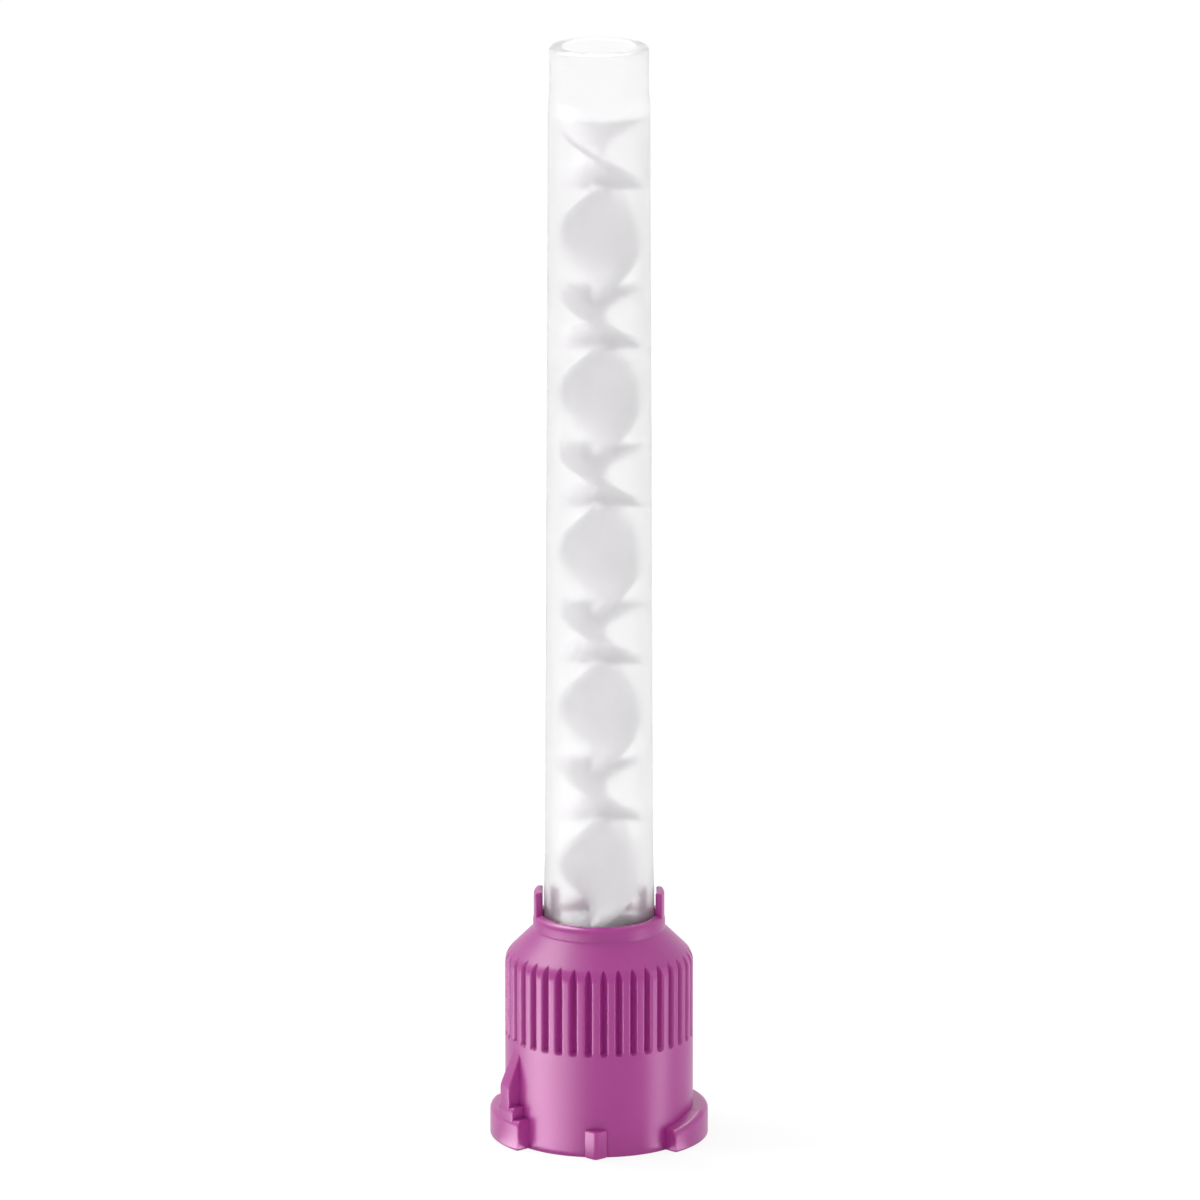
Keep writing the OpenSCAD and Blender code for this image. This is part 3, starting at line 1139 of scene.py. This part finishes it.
@dataclass(frozen=True)
class Panel:
    """A bright sheet on the floor beside the cap, which only glossy surfaces show.

    Attributes:
        name: Name of the sheet.
        middle: Direction that its brightest line nears far out, in degrees from -Y towards +X.
        front: Turn from there to where it has faded out at the front, in degrees.
        back: Turn from there to where it has faded out at the back, in degrees.
        glow: Its greatest strength.
        stand_r: Radius of the cap that stands in its middle.
        rows: Distances of its rows of points from the axis.
        full_r: Distance up to which it has its full strength.
        columns: Number of points in a row.
        lift: Its height above the floor.
    """

    name: str
    middle: float
    front: float
    back: float
    glow: float
    stand_r: float = 7.62 * MM
    rows: tuple[float, ...] = tuple(r * MM for r in (8, 10, 13, 18, 26, 38, 55, 75, 95, 120))
    full_r: float = 60 * MM
    columns: int = 25
    lift: float = 0.2 * MM

    @staticmethod
    def fade(share: float) -> float:
        """Fall smoothly from 1 at share 0 to 0 at share 1."""
        share = min(max(share, 0.0), 1.0)
        return 1 - share * share * (3 - 2 * share)

    def sheet(self) -> Solid:
        """Lay out the sheet with its strength at every point.

        Returns:
            The sheet, whose lines bend so that the round skirt mirrors them about upright.
        """
        side = math.copysign(1.0, self.middle)
        bm = bmesh.new()
        strength = bm.verts.layers.float.new("strength")
        grid = []
        for r in self.rows:
            along = self.fade((r - self.full_r) / (self.rows[-1] - self.full_r))
            line = []
            for share in levels(-1.0, 1.0, self.columns):
                past = share * (self.back if share > 0 else self.front)
                turn = math.radians(self.middle + side * past) * (1 - self.stand_r / (2 * r))
                vertex = bm.verts.new((r * math.sin(turn), -r * math.cos(turn), self.lift))
                vertex[strength] = self.glow * along * self.fade(abs(share))
                line.append(vertex)
            grid.append(line)
        for near, far in zip(grid, grid[1:]):
            for a in range(self.columns - 1):
                bm.faces.new((near[a], far[a], far[a + 1], near[a + 1]))
        return mesh_object(self.name, bm)

    def build(self) -> None:
        """Lay the sheet, which only glossy surfaces show."""
        material = bpy.data.materials.new(self.name)
        wiring = emptied(material)
        strength = wiring.node("ShaderNodeAttribute", attribute_name="strength").outputs["Fac"]
        light = wiring.node("ShaderNodeEmission", {"Color": WHITE, "Strength": strength})
        clear = wiring.node("ShaderNodeBsdfTransparent")
        both = wiring.node("ShaderNodeAddShader", {0: light.outputs[0], 1: clear.outputs[0]})
        wiring.node("ShaderNodeOutputMaterial", {"Surface": both.outputs[0]})
        material.cycles.emission_sampling = "FRONT_BACK"
        sheet = self.sheet()
        sheet.data.materials.append(material)
        for ray in ("camera", "diffuse", "transmission", "shadow"):
            setattr(sheet, f"visible_{ray}", False)


@dataclass(frozen=True)
class Lamp:
    """A soft lamp that faces the middle of the object.

    Attributes:
        name: Name of the lamp.
        place: Where it hangs.
        size: Its width and height.
        watts: Its power.
        shine_only: Whether only glossy surfaces show it.
        aim: Where it faces.
    """

    name: str
    place: tuple[float, float, float]
    size: tuple[float, float]
    watts: float
    shine_only: bool = False
    aim: tuple[float, float, float] = (0.0, 0.0, 0.04)

    def build(self) -> None:
        """Hang the lamp."""
        light = bpy.data.lights.new(self.name, "AREA")
        light.shape = "RECTANGLE"
        light.size, light.size_y = self.size
        light.energy = self.watts
        lamp = bpy.data.objects.new(self.name, light)
        lamp.location = self.place
        facing = Vector(self.aim) - Vector(self.place)
        lamp.rotation_euler = facing.to_track_quat("-Z", "Y").to_euler()
        lamp.visible_diffuse = lamp.visible_transmission = not self.shine_only
        bpy.context.scene.collection.objects.link(lamp)


@dataclass
class Studio:
    """The pale floor, the lights and the camera."""

    floor_half: float = 3.0
    floor_colour: Colour = (0.86, 0.86, 0.86, 1.0)
    floor_cloud: Colour = (0.90, 0.90, 0.90, 1.0)
    floor_cloud_scale: float = 3.0
    floor_roughness: float = 0.9
    floor_white: float = 0.85
    room_light: float = 1.0
    panels: tuple[Panel, ...] = (
        Panel("left_panel", -76.0, 76.0, 46.0, 8.3),
        Panel("right_panel", 82.0, 24.0, 24.0, 4.5),
    )
    lamps: tuple[Lamp, ...] = (
        Lamp("key", (-0.3485, 0.094, 0.415), (0.3, 0.3), 1.35),
        Lamp("fill", (0.593, -0.094, 0.22), (0.05, 0.3), 0.4),
        Lamp("rim", (-0.08, 0.2, 0.5), (0.5, 0.3), 6.0, shine_only=True),
    )
    camera_back: float = 1.0
    camera_height: float = 0.292
    camera_side: float = math.radians(1.9)
    camera_pitch: float = math.radians(13.9)
    focal_px: float = 12797.0
    picture_px: float = 1200.0
    axis_px: float = 599.1
    clip: tuple[float, float] = (0.05, 20.0)

    def seen(self, wiring: Wiring) -> Socket:
        """Tell whether the camera sees a surface, straight, mirrored or through another one.

        Args:
            wiring: The tree to add the nodes to.

        Returns:
            1 where it is seen, else 0.
        """
        path = wiring.node("ShaderNodeLightPath").outputs
        through = wiring.math("MAXIMUM", path["Is Glossy Ray"], path["Is Transmission Ray"])
        return wiring.math("MAXIMUM", path["Is Camera Ray"], through)

    def floor(self) -> None:
        """Lay the pale floor, which shows white to the camera and keeps the shadow."""
        bm = bmesh.new()
        bmesh.ops.create_grid(bm, x_segments=1, y_segments=1, size=self.floor_half)
        floor = mesh_object("floor", bm)
        material = bpy.data.materials.new("pale_floor")
        wiring = emptied(material)
        place = wiring.node("ShaderNodeTexCoord").outputs["Object"]
        cloud = wiring.node("ShaderNodeTexNoise", {
            "Vector": place,
            "Scale": self.floor_cloud_scale,
        }).outputs["Fac"]
        colour = wiring.node("ShaderNodeMix", {
            "Factor": cloud,
            6: self.floor_colour,
            7: self.floor_cloud,
        }, data_type="RGBA")
        matt = wiring.node("ShaderNodeBsdfPrincipled", {
            "Base Color": colour.outputs[2],
            "Roughness": self.floor_roughness,
        })
        white = wiring.node("ShaderNodeEmission", {"Color": WHITE, "Strength": 1.0})
        mix = wiring.node("ShaderNodeMixShader", {
            0: wiring.times(self.seen(wiring), self.floor_white),
            1: matt.outputs[0],
            2: white.outputs[0],
        })
        wiring.node("ShaderNodeOutputMaterial", {"Surface": mix.outputs[0]})
        material.cycles.emission_sampling = "NONE"
        floor.data.materials.append(material)

    def world(self) -> None:
        """Fill the room with white light, seen as white where nothing stands before it."""
        world = bpy.data.worlds.new("studio")
        wiring = emptied(world)
        strength = wiring.node("ShaderNodeMapRange", {
            "Value": self.seen(wiring),
            "To Min": self.room_light,
            "To Max": 1.0,
        })
        back = wiring.node("ShaderNodeBackground", {"Strength": strength.outputs[0]})
        back.inputs["Color"].default_value = WHITE
        wiring.node("ShaderNodeOutputWorld", {"Surface": back.outputs[0]})
        bpy.context.scene.world = world

    def camera(self) -> None:
        """Set the camera up at the photograph's angle."""
        lens = bpy.data.cameras.new("camera")
        lens.sensor_fit = "HORIZONTAL"
        lens.angle = 2 * math.atan(self.picture_px / 2 / self.focal_px)
        lens.clip_start, lens.clip_end = self.clip
        lens.shift_x = (self.picture_px / 2 - self.axis_px) / self.picture_px
        camera = bpy.data.objects.new("camera", lens)
        camera.location = (
            self.camera_back * math.sin(self.camera_side),
            -self.camera_back * math.cos(self.camera_side),
            self.camera_height,
        )
        camera.rotation_euler = (math.pi / 2 - self.camera_pitch, 0.0, self.camera_side)
        bpy.context.scene.collection.objects.link(camera)
        bpy.context.scene.camera = camera

    def build(self) -> None:
        """Set up the whole studio."""
        self.floor()
        self.world()
        for light in (*self.panels, *self.lamps):
            light.build()
        self.camera()
        bpy.context.scene.view_settings.view_transform = "Standard"


def main() -> None:
    """Build every piece in order, dress it and set up the studio."""
    logging.basicConfig(level=logging.INFO, format="%(name)s: %(message)s")
    surface = moulded_surface()
    MixingElement().build(WHITE_INSERT.material(surface))
    MixerHousing().build(FROSTED_TUBE.material(surface))
    CouplingCap().build(PINK_CAP.material(surface))
    Studio().build()


if __name__ == "__main__":
    main()
